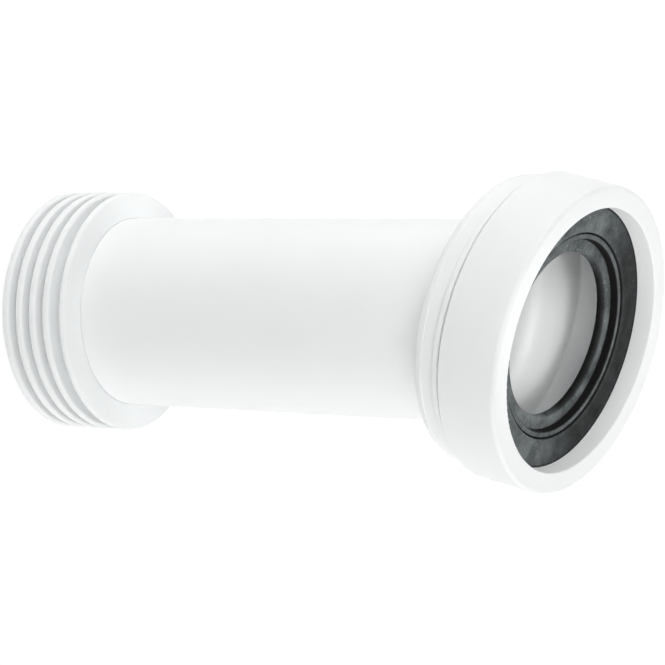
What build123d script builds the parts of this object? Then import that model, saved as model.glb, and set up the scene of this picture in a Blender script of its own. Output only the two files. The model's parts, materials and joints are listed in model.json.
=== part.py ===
from build123d import *
import os
from math import cos, radians, sin, tan

# Toilet pan connector: a straight waste pipe with a finned spigot seal at its outlet and an angled cup at
# its inlet. Millimetres and degrees. The pipe stands on its outlet end: +Z runs up the pipe axis, the origin
# is on that axis in the outlet end face, and the cup leans towards +X.

# Pipe
pipe_diameter = 90.0
pipe_wall = 3.2
bend_angle = 14.0
bend_height = 244.0
mouth_reach = 35.6
outlet_chamfer = 0.8

# Spigot seat for the finned seal, between an end band and a shoulder on the pipe
end_band_height = 3.0
seat_depth = 0.9

# Finned outlet seal
seal_seat_gap = 0.1
sleeve_wall = 4.0
fin_diameter = 115.0
fin_count = 4
fin_pitch = 7.8
fins_from_band = 4.2
flange_from_fins = 11.4
fin_tip_thickness = 3.8
fin_root_thickness = 4.4
fin_sweep = 1.0
fin_tip_round = 1.4
fin_tip_round_share = 0.45
flange_tip_thickness = 3.2
flange_root_thickness = 4.0
flange_face_fall = 0.6
joint_groove_width = 0.3
joint_groove_depth = 0.3

# Bell, measured inwards from the rim plane along the cup axis
bell_wall = 3.5
shoulder_land = 7.4
shoulder_slope = 25.0
shoulder_round = 4.5
shoulder_least_round = 0.5
rib_from_cap = 2.1
rib_width = 2.5
rib_rise = 1.8
rib_round_share = 0.35
snap_from_rear = 4.6
snap_width = 2.8
snap_rise = 0.7
snap_ramp = 0.8
parting_rise = 0.2
parting_width = 0.8
parting_clear = 0.1
outer_crease_round = 3.0
inner_crease_round = 8.0
crease_round_share = 0.42

# Retaining cap
cap_diameter = 136.6
cap_wall = 3.05
cap_rim_width = 9.7
cap_length = 28.0
cap_draft = 1.2
cap_skirt_gap = 0.25
cap_outer_round = 2.0
cap_inner_round = 0.6
cap_rear_round = 0.6

# Inlet seal
seal_face_depth = 9.0
seal_flange_thickness = 3.5
seal_skirt_length = 11.5
seal_skirt_thickness = 3.0
seal_bell_gap = 0.2
bead_width = 2.4
bead_fall = 0.6
bead_round_share = 0.25
bead_groove_depth = 1.4
bead_groove_width = 0.8
lip_diameter = 72.6
lip_reach = 6.6
lip_depth = 4.0
lip_thickness = 4.3
lip_nose_flat = 0.1
lip_web_width = 4.5

# Values shared by the pieces
pipe_radius = pipe_diameter / 2
bore_radius = pipe_radius - pipe_wall
seat_radius = pipe_radius - seat_depth
seat_length = fins_from_band + (fin_count - 1) * fin_pitch + flange_from_fins
seat_top = end_band_height + seat_length
sleeve_bore = seat_radius + seal_seat_gap
sleeve_radius = sleeve_bore + sleeve_wall
fin_radius = fin_diameter / 2
first_fin_height = end_band_height + fins_from_band
bell_diameter = cap_diameter - 2 * (cap_wall + cap_skirt_gap)
bell_radius = bell_diameter / 2
cavity_radius = bell_radius - bell_wall
bell_front = seal_face_depth + seal_flange_thickness
snap_depth = cap_length - snap_from_rear - snap_width
rib_depth = cap_length + rib_from_cap
shoulder_depth = rib_depth + rib_width + shoulder_land
cap_radius = cap_diameter / 2
mouth_radius = cap_radius - cap_rim_width
skirt_radius = bell_radius + cap_skirt_gap
lip_nose_round = (lip_thickness - lip_nose_flat) / 2
lean = radians(bend_angle)
cup_axis = Vector(sin(lean), 0, cos(lean))
mouth_centre = Vector(0, 0, bend_height) + cup_axis * mouth_reach
pipe_run_in = (mouth_reach - bell_front - pipe_radius * sin(lean)) / 2
pipe_end = bend_height + pipe_run_in
cup_frame = Plane(origin=mouth_centre, x_dir=(cos(lean), 0, -sin(lean)), z_dir=cup_axis)


def turned(corners):
    """Solid turned about Z from a closed section of (radius, height, corner round) corners."""
    points = [(radius, height) for radius, height, _ in corners]
    rounds = [corner_round for _, _, corner_round in corners]
    section = make_face(FilletPolyline(*points, radius=rounds, close=True))
    return revolve(Plane.XZ * section, Axis.Z)


def turned_in_cup(corners):
    """Solid turned about the cup axis from (radius, depth behind the rim plane, corner round) corners."""
    return cup_frame * turned([(radius, -depth, corner_round) for radius, depth, corner_round in corners])


def joined_with_round(first, second, crease_round, cone_width):
    """Two crossing solids joined, with the crease between them rounded, limited by the cone beside it."""
    joined = first + second
    return fillet(new_edges(first, second, combined=joined), min(crease_round, crease_round_share * cone_width))


def shoulder_section(inset):
    """Bell shoulder and closing cone, set in from the outside of the bell by a wall."""
    radius = bell_radius - inset
    corner_round = max(shoulder_round - inset, shoulder_least_round)
    corner = shoulder_depth + corner_round * tan(radians(90 - shoulder_slope) / 2)
    return [(radius, corner, corner_round), (0, corner + radius * tan(radians(shoulder_slope)), 0)]


def parting_section():
    """Low ridge left by the mould just before the shoulder starts to round."""
    back = shoulder_depth - parting_clear
    return [
        (bell_radius, back - parting_width, 0),
        (bell_radius + parting_rise, back - parting_width / 2, 0),
        (bell_radius, back, 0),
    ]


def rib_section():
    """Rib behind the cap."""
    crest = bell_radius + rib_rise
    back = rib_depth + rib_width
    rib_round = rib_round_share * min(rib_width, rib_rise)
    return [
        (bell_radius, rib_depth, 0),
        (crest, rib_depth, rib_round),
        (crest, back, rib_round),
        (bell_radius, back, rib_round),
    ]


def snap_section(foot, rise, spread):
    """Snap bead under the cap skirt, or the groove that takes it, with ramped sides."""
    front = snap_depth - spread
    back = snap_depth + snap_width + spread
    return [
        (foot, front, 0),
        (foot + rise, front + snap_ramp, 0),
        (foot + rise, back - snap_ramp, 0),
        (foot, back, 0),
    ]


def make_connector_body():
    """Pipe and bell as one moulding, hollowed by a core that has the bore and the cup."""
    pipe_blank = turned([
        (0, 0, 0),
        (pipe_radius - outlet_chamfer, 0, 0),
        (pipe_radius, outlet_chamfer, 0),
        (pipe_radius, end_band_height, 0),
        (seat_radius, end_band_height, 0),
        (seat_radius, seat_top, 0),
        (pipe_radius, seat_top, 0),
        (pipe_radius, pipe_end, 0),
        (0, pipe_end, 0),
    ])
    bell_blank = turned_in_cup(
        [(0, bell_front, 0), (bell_radius, bell_front, 0)]
        + snap_section(bell_radius, snap_rise, 0)
        + rib_section()
        + parting_section()
        + shoulder_section(0)
    )
    bore_core = Cylinder(bore_radius, pipe_end, align=(Align.CENTER, Align.CENTER, Align.MIN))
    cup_core = turned_in_cup([(0, bell_front, 0), (cavity_radius, bell_front, 0)] + shoulder_section(bell_wall))
    outside = joined_with_round(pipe_blank, bell_blank, outer_crease_round, bell_radius - pipe_radius)
    return outside - joined_with_round(bore_core, cup_core, inner_crease_round, cavity_radius - bore_radius)


def edge_round(thickness):
    """Round on the outer edges of a fin or flange, limited by its thickness and reach."""
    return min(fin_tip_round, fin_tip_round_share * min(thickness, fin_radius - sleeve_radius))


def fin_section(middle):
    """One fin: thicker at its root, with its tip swept towards the cup and rounded."""
    root_middle = middle - fin_sweep
    tip_round = edge_round(fin_tip_thickness)
    return [
        (sleeve_radius, root_middle - fin_root_thickness / 2, 0),
        (fin_radius, middle - fin_tip_thickness / 2, tip_round),
        (fin_radius, middle + fin_tip_thickness / 2, tip_round),
        (sleeve_radius, root_middle + fin_root_thickness / 2, 0),
    ]


def make_outlet_fin_seal():
    """Soft sleeve on the spigot seat, with its fins and the flange that meets the pipe shoulder."""
    flange_tip_top = seat_top - flange_face_fall
    flange_round = edge_round(flange_tip_thickness)
    seated_edge = (sleeve_bore + pipe_radius) / 2
    corners = [(sleeve_bore, end_band_height, 0), (sleeve_radius, end_band_height, 0)]
    for index in range(fin_count):
        corners += fin_section(first_fin_height + index * fin_pitch)
    corners += [
        (sleeve_radius, seat_top - flange_root_thickness, 0),
        (fin_radius, flange_tip_top - flange_tip_thickness, flange_round),
        (fin_radius, flange_tip_top, flange_round),
        (pipe_radius + joint_groove_width, seat_top, 0),
        (pipe_radius, seat_top - joint_groove_depth, 0),
        (seated_edge, seat_top, 0),
        (sleeve_bore, seat_top, 0),
    ]
    return turned(corners)


def make_inlet_seal():
    """Rubber seal clamped between the cap and the bell, with a bead and a rounded inner lip."""
    rear = bell_front
    skirt_outer = cavity_radius - seal_bell_gap
    skirt_inner = skirt_outer - seal_skirt_thickness
    lip_inner = lip_diameter / 2
    lip_front = seal_face_depth + lip_depth
    lip_back = lip_front + lip_thickness
    bead_inner = lip_inner + lip_reach
    bead_outer = bead_inner + bead_width
    bead_top = seal_face_depth + bead_fall
    bead_round = bead_round_share * bead_width
    web = bead_outer + lip_web_width
    return turned_in_cup([
        (bell_radius, seal_face_depth, 0),
        (bead_outer + bead_groove_width, seal_face_depth, 0),
        (bead_outer + bead_groove_width / 2, seal_face_depth + bead_groove_depth, 0),
        (bead_outer, bead_top, bead_round),
        (bead_inner, bead_top, bead_round),
        (bead_inner, lip_front, 0),
        (lip_inner, lip_front, lip_nose_round),
        (lip_inner, lip_back, lip_nose_round),
        (web, lip_back, lip_nose_round),
        (web, rear, 0),
        (skirt_inner, rear, 0),
        (skirt_inner, rear + seal_skirt_length, 0),
        (skirt_outer, rear + seal_skirt_length, 0),
        (skirt_outer, rear, 0),
        (bell_radius, rear, 0),
    ])


def make_seal_retaining_cap():
    """Ring with a flat rim that snaps over the bell and clamps the seal's flange."""
    rear = cap_radius + cap_length * tan(radians(cap_draft))
    groove = snap_section(skirt_radius, snap_rise, cap_skirt_gap)
    return turned_in_cup([
        (mouth_radius, 0, cap_inner_round),
        (cap_radius, 0, cap_outer_round),
        (rear, cap_length, cap_rear_round),
        (skirt_radius, cap_length, cap_rear_round),
        *reversed(groove),
        (skirt_radius, seal_face_depth, 0),
        (mouth_radius, seal_face_depth, 0),
    ])


nodes = {
    "connector_body": make_connector_body(),
    "outlet_fin_seal": make_outlet_fin_seal(),
    "inlet_seal": make_inlet_seal(),
    "seal_retaining_cap": make_seal_retaining_cap(),
}

os.makedirs("parts", exist_ok=True)
for name, solid in nodes.items():
    export_step(solid, f"parts/{name}.step")
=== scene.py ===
import json
from math import cos, radians, sin

import bpy
from mathutils import Matrix, Vector

# Toilet pan connector standing on its outlet end, in metres and degrees.

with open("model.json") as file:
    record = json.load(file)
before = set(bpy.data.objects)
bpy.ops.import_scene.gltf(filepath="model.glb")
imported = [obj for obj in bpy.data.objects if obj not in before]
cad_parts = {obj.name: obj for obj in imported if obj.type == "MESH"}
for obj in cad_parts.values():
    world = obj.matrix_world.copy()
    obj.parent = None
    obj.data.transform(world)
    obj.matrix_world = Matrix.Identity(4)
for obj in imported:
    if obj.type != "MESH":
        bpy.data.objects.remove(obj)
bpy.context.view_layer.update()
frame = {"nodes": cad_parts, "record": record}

# Camera: place, heading of the view from +X, angle below the horizon and turn about the line of sight
CAMERA_PLACE = Vector((0.348993, -0.781690, 0.645491))
CAMERA_HEADING = 113.571
CAMERA_DIP = 29.963
CAMERA_ROLL = 91.845
CAMERA_LENS_MM = 116.516
CAMERA_RANGE = 50.0
SENSOR_MM = 36.0

# Wide soft lamps: heading from +X and height of the lamp, strength in W/m2 and width of its light
LAMPS = {
    "low_side_light": (17, 6, 2.0, 50),
    "low_front_light": (40, 36, 0.3, 40),
    "low_back_light": (56, 1, 0.62, 40),
    "camera_light": (-67, 39, 1.15, 40),
    "high_camera_light": (-134, 23, 1.15, 40),
    "high_light": (-160, 13, 0.7, 60),
    "ceiling_light": (116, 48, 1.0, 50),
}

# Softboxes near the part: place, point it is aimed at, power in W, width, and beam, which a grid can narrow
OPEN_BEAM = 180
SOFTBOXES = {
    "pipe_softbox": ((-0.296, -0.070, 0.115), (0.0, 0.0, 0.130), 0.055, 0.20, OPEN_BEAM),
    "cup_softbox": ((0.068, -0.104, 0.400), (-0.001, 0.010, 0.250), 0.0073, 0.07, 24),
    "mouth_softbox": ((0.0506, -0.0431, 0.2743), (-0.0202, 0.0401, 0.3239), 0.0085, 0.01, 80),
}

# Floor: the light it sends back to the part, and the look it is shown with
FLOOR_SIZE = 12.0
FLOOR_ALBEDO = 0.80
FLOOR_SHOWN_ALBEDO = 0.12
FLOOR_GLOW = 0.92

# Middle of a noise's range, which the finishes spread their tones over
NOISE_MIDDLE = (0.3, 0.7)

# White plastics: darkest and lightest tone, and range of roughness
HARD_WHITE = ((0.906, 0.922, 0.921), (0.926, 0.942, 0.941))
SOFT_WHITE = ((0.896, 0.912, 0.912), (0.916, 0.932, 0.932))
SATIN = (0.36, 0.46)
MATTE = (0.5, 0.6)
PLASTIC_IOR = 1.49
SCATTER_WEIGHT = 0.15
SCATTER_RADIUS = (1.0, 1.0, 1.0)
SCATTER_SCALE = 0.002
CLOUD_SIZE = 0.05
SHEEN_SIZE = 0.012
GRAIN_SIZE = 0.0008
GRAIN_DEPTH = 0.00002

# Rubber
RUBBER = (0.006, 0.006, 0.006)
RUBBER_ROUGHNESS = (0.6, 0.8)
RUBBER_IOR = 1.52
RUBBER_SPECULAR = 0.1
RUBBER_SHEEN_SIZE = 0.006
RUBBER_GRAIN_SIZE = 0.0006
RUBBER_GRAIN_DEPTH = 0.00006

# Dust on the rubber: darkest and lightest tone of its blotches, and specks where their noise is high
DUST = ((0.045, 0.052, 0.053), (0.200, 0.220, 0.222))
BLOTCH_SIZE = 0.010
SPECK = (0.28, 0.305, 0.31)
SPECK_SIZE = 0.0016
SPECK_NOISE = (0.64, 0.76)

# Share of the dust colour by distance from the cup axis: on the seal's lip, bead and face; none in the
# grooves, on the lip's nose or in the corner by the cap, which is painted shade there. The side rings add
# more on the lip's nose and on the face, by the cosine of the way to the lighter side: the nose keeps
# painted shade on its far side.
DUST_AND_SHADE_RINGS = (
    (0.0363, 0.0), (0.0372, 0.15), (0.0384, 0.9), (0.0417, 1.0), (0.0426, 0.0), (0.0430, 0.0),
    (0.0434, 0.85), (0.0450, 0.85), (0.0453, 0.0), (0.0459, 0.0), (0.0462, 0.22), (0.0490, 0.12),
    (0.0562, 0.22), (0.0574, 0.22), (0.0582, 0.0),
)
SIDE_RINGS = (
    (0.0360, 0.9), (0.0417, 1.0), (0.0426, 0.0), (0.0459, 0.0), (0.0462, 0.9), (0.0540, 1.0),
    (0.0574, 0.7), (0.0582, 0.1),
)
# Side towards which the seal's face grows lighter and the lip's nose loses its painted shade, and the
# cosines over which that grows
LIGHTER_SIDE = Vector((0.287, -0.955, -0.072))
LIGHTER_SIDE_COSINES = (-0.6, 0.0)

# Cup: a point on its axis and the axis, from the mouth's mount
mouth = next(mount for mount in frame["record"]["mounts"] if mount["name"] == "inlet_mouth")
CUP_POINT = Vector(mouth["pos_m"])
CUP_AXIS = Vector(mouth["axis"])

# Mix node's colour sockets, which share their names with its other sockets
MIX_FIRST = 6
MIX_SECOND = 7
MIX_RESULT = 2


def add_camera():
    """Camera at the photograph's place, turned as it was held."""
    data = bpy.data.cameras.new("camera")
    data.lens = CAMERA_LENS_MM
    data.sensor_width = SENSOR_MM
    data.clip_end = CAMERA_RANGE
    camera = bpy.data.objects.new("camera", data)
    camera.matrix_world = (
        Matrix.Translation(CAMERA_PLACE)
        @ Matrix.Rotation(radians(CAMERA_HEADING - 90), 4, "Z")
        @ Matrix.Rotation(radians(90 - CAMERA_DIP), 4, "X")
        @ Matrix.Rotation(radians(CAMERA_ROLL), 4, "Z")
    )
    bpy.context.collection.objects.link(camera)
    bpy.context.scene.camera = camera


def direction(heading, height):
    """Unit vector with a heading from +X and a height above the horizon."""
    level = cos(radians(height))
    return Vector((level * cos(radians(heading)), level * sin(radians(heading)), sin(radians(height))))


def add_lamp(data, towards):
    """Lamp object that shines back from the given direction."""
    lamp = bpy.data.objects.new(data.name, data)
    lamp.rotation_mode = "QUATERNION"
    lamp.rotation_quaternion = towards.to_track_quat("Z", "Y")
    bpy.context.collection.objects.link(lamp)
    return lamp


def add_lamps():
    """Wide soft lamps, as far away as the lit walls and ceiling of a studio."""
    for name, (heading, height, strength, width) in LAMPS.items():
        data = bpy.data.lights.new(name, "SUN")
        data.energy = strength
        data.angle = radians(width)
        add_lamp(data, direction(heading, height))


def add_softboxes():
    """Round softboxes close to the part; those behind a grid light the cup alone and show in no gloss."""
    for name, (place, target, power, width, beam) in SOFTBOXES.items():
        data = bpy.data.lights.new(name, "AREA")
        data.shape = "DISK"
        data.size = width
        data.spread = radians(beam)
        data.energy = power
        lamp = add_lamp(data, Vector(place) - Vector(target))
        lamp.location = place
        lamp.visible_camera = False
        lamp.visible_glossy = beam == OPEN_BEAM


def grey(level):
    """Opaque grey."""
    return (level, level, level, 1)


def set_inputs(tree, node, inputs):
    """Links each named input of a node to a socket, or sets it to a value."""
    for name, value in inputs.items():
        if isinstance(value, bpy.types.NodeSocket):
            tree.links.new(value, node.inputs[name])
        else:
            node.inputs[name].default_value = value


def add_node(tree, kind, inputs, **settings):
    """New node with its settings and inputs."""
    node = tree.nodes.new(kind)
    for name, value in settings.items():
        setattr(node, name, value)
    set_inputs(tree, node, inputs)
    return node


def math_node(tree, operation, first, second):
    """Result of a Math node on two sockets."""
    return add_node(tree, "ShaderNodeMath", {0: first, 1: second}, operation=operation).outputs["Value"]


def vector_node(tree, operation, *operands):
    """Outputs of a Vector Math node on sockets or fixed vectors."""
    return add_node(tree, "ShaderNodeVectorMath", dict(enumerate(operands)), operation=operation).outputs


def span(tree, value, start, end, low=0.0, high=1.0):
    """Value mapped between two numbers as it runs from start to end."""
    inputs = {"Value": value, "From Min": start, "From Max": end, "To Min": low, "To Max": high}
    return add_node(tree, "ShaderNodeMapRange", inputs).outputs["Result"]


def colour_ramp(tree, value, stops):
    """Colour that follows (position, colour) stops."""
    ramp = add_node(tree, "ShaderNodeValToRGB", {"Fac": value})
    elements = ramp.color_ramp.elements
    while len(elements) < len(stops):
        elements.new(1.0)
    for element, (position, colour) in zip(elements, stops):
        element.position, element.color = position, colour
    return ramp.outputs["Color"]


def mixed(tree, amount, first, second):
    """Mix of two colours, each a socket or an opaque colour."""
    inputs = {"Factor": amount, MIX_FIRST: first, MIX_SECOND: second}
    return add_node(tree, "ShaderNodeMix", inputs, data_type="RGBA").outputs[MIX_RESULT]


def shown_ray(tree):
    """Socket that is 1 for rays from the camera and for those that a gloss or glass sends on."""
    path = add_node(tree, "ShaderNodeLightPath", {}).outputs
    seen = math_node(tree, "MAXIMUM", path["Is Camera Ray"], path["Is Glossy Ray"])
    return math_node(tree, "MAXIMUM", seen, path["Is Transmission Ray"])


def set_world():
    """World that is white where it is shown and gives no other light."""
    world = bpy.data.worlds.new("studio")
    world.use_nodes = True
    tree = world.node_tree
    tree.nodes.clear()
    white = add_node(tree, "ShaderNodeBackground", {"Color": grey(1), "Strength": shown_ray(tree)})
    add_node(tree, "ShaderNodeOutputWorld", {"Surface": white.outputs["Background"]})
    bpy.context.scene.world = world


def floor_paper():
    """Pale paper, shown as near white with a faint shadow."""
    material = bpy.data.materials.new("floor_paper")
    material.use_nodes = True
    tree = material.node_tree
    tree.nodes.clear()
    paper = add_node(tree, "ShaderNodeBsdfDiffuse", {"Color": grey(FLOOR_ALBEDO)})
    shade = add_node(tree, "ShaderNodeBsdfDiffuse", {"Color": grey(FLOOR_SHOWN_ALBEDO)})
    glow = add_node(tree, "ShaderNodeEmission", {"Strength": FLOOR_GLOW})
    shown = add_node(tree, "ShaderNodeAddShader", {0: shade.outputs["BSDF"], 1: glow.outputs["Emission"]})
    either = {"Fac": shown_ray(tree), 1: paper.outputs["BSDF"], 2: shown.outputs["Shader"]}
    mix = add_node(tree, "ShaderNodeMixShader", either)
    add_node(tree, "ShaderNodeOutputMaterial", {"Surface": mix.outputs["Shader"]})
    return material


def add_floor():
    """Floor under the outlet end."""
    half = FLOOR_SIZE / 2
    corners = [(-half, -half, 0), (half, -half, 0), (half, half, 0), (-half, half, 0)]
    mesh = bpy.data.meshes.new("floor")
    mesh.from_pydata(corners, [], [(0, 1, 2, 3)])
    mesh.materials.append(floor_paper())
    floor = bpy.data.objects.new("floor", mesh)
    bpy.context.collection.objects.link(floor)


def new_material(name):
    """Material with a Principled shader, its node tree and the object's own coordinates."""
    material = bpy.data.materials.new(name)
    material.use_nodes = True
    place = add_node(material.node_tree, "ShaderNodeTexCoord", {}).outputs["Object"]
    return material, material.node_tree, place


def noise(tree, place, size, detail=3.0, roughness=0.5):
    """Noise with features of about the given size."""
    inputs = {"Vector": place, "Scale": 1 / size, "Detail": detail, "Roughness": roughness}
    return add_node(tree, "ShaderNodeTexNoise", inputs).outputs["Fac"]


def toned(tree, value, tones):
    """Colour between two tones by a noise."""
    return colour_ramp(tree, value, [(stop, (*tone, 1)) for stop, tone in zip(NOISE_MIDDLE, tones)])


def relief(tree, height, depth):
    """Normal of a surface with relief of the given depth."""
    inputs = {"Height": height, "Distance": depth, "Strength": 1.0}
    return add_node(tree, "ShaderNodeBump", inputs).outputs["Normal"]


def moulded_plastic(name, tones, gloss):
    """White moulded plastic: cloudy tone, gloss that varies and a fine mould grain."""
    material, tree, place = new_material(name)
    sheen = noise(tree, place, SHEEN_SIZE)
    set_inputs(tree, tree.nodes["Principled BSDF"], {
        "Base Color": toned(tree, noise(tree, place, CLOUD_SIZE), tones),
        "Roughness": span(tree, sheen, *NOISE_MIDDLE, *gloss),
        "IOR": PLASTIC_IOR,
        "Subsurface Weight": SCATTER_WEIGHT,
        "Subsurface Radius": SCATTER_RADIUS,
        "Subsurface Scale": SCATTER_SCALE,
        "Normal": relief(tree, noise(tree, place, GRAIN_SIZE, detail=2.0), GRAIN_DEPTH),
    })
    return material


def ring_levels(tree, distance, rings):
    """Grey level that follows rings about the cup axis, from (distance, level) pairs."""
    first, last = rings[0][0], rings[-1][0]
    stops = [((ring - first) / (last - first), grey(level)) for ring, level in rings]
    return colour_ramp(tree, span(tree, distance, first, last), stops)


def dust_and_shade_cover(tree, place):
    """Share of the rubber given the dust colour, by distance from the cup axis and the way round it: none
    in the grooves, on the lip's nose and in the corner by the cap as painted shade, and more towards the
    lighter side.
    """
    offset = vector_node(tree, "SUBTRACT", place, CUP_POINT)["Vector"]
    across = vector_node(tree, "CROSS_PRODUCT", offset, CUP_AXIS)["Vector"]
    distance = vector_node(tree, "LENGTH", across)["Value"]
    along = vector_node(tree, "DOT_PRODUCT", offset, LIGHTER_SIDE)["Value"]
    side = span(tree, math_node(tree, "DIVIDE", along, distance), *LIGHTER_SIDE_COSINES)
    more = math_node(tree, "MULTIPLY", ring_levels(tree, distance, SIDE_RINGS), side)
    return math_node(tree, "ADD", more, ring_levels(tree, distance, DUST_AND_SHADE_RINGS))


def rubber_with_dust_and_painted_shade(name):
    """Black rubber with grey dust in blotches and specks, left black as painted shade in its grooves, on
    its lip's nose and in the corner by the cap, and a fine grain.
    """
    material, tree, place = new_material(name)
    dust = toned(tree, noise(tree, place, BLOTCH_SIZE, detail=7.0, roughness=0.7), DUST)
    specks = span(tree, noise(tree, place, SPECK_SIZE, detail=2.0), *SPECK_NOISE)
    dust = mixed(tree, specks, dust, (*SPECK, 1))
    sheen = noise(tree, place, RUBBER_SHEEN_SIZE)
    set_inputs(tree, tree.nodes["Principled BSDF"], {
        # Painted shade: the cover keeps the grooves, the lip's nose and the corner by the cap black
        "Base Color": mixed(tree, dust_and_shade_cover(tree, place), (*RUBBER, 1), dust),
        "Roughness": span(tree, sheen, *NOISE_MIDDLE, *RUBBER_ROUGHNESS),
        "IOR": RUBBER_IOR,
        "Specular IOR Level": RUBBER_SPECULAR,
        "Normal": relief(tree, noise(tree, place, RUBBER_GRAIN_SIZE), RUBBER_GRAIN_DEPTH),
    })
    return material


def dress(node, material):
    """Gives a CAD node its finish."""
    mesh = frame["nodes"][node].data
    for index in range(len(mesh.materials)):
        mesh.materials[index] = material


bpy.context.scene.view_settings.view_transform = "Standard"
add_camera()
add_lamps()
add_softboxes()
set_world()
add_floor()
dress("connector_body", moulded_plastic("body_plastic", HARD_WHITE, SATIN))
dress("seal_retaining_cap", moulded_plastic("cap_plastic", HARD_WHITE, SATIN))
dress("outlet_fin_seal", moulded_plastic("fin_elastomer", SOFT_WHITE, MATTE))
dress("inlet_seal", rubber_with_dust_and_painted_shade("seal_rubber"))
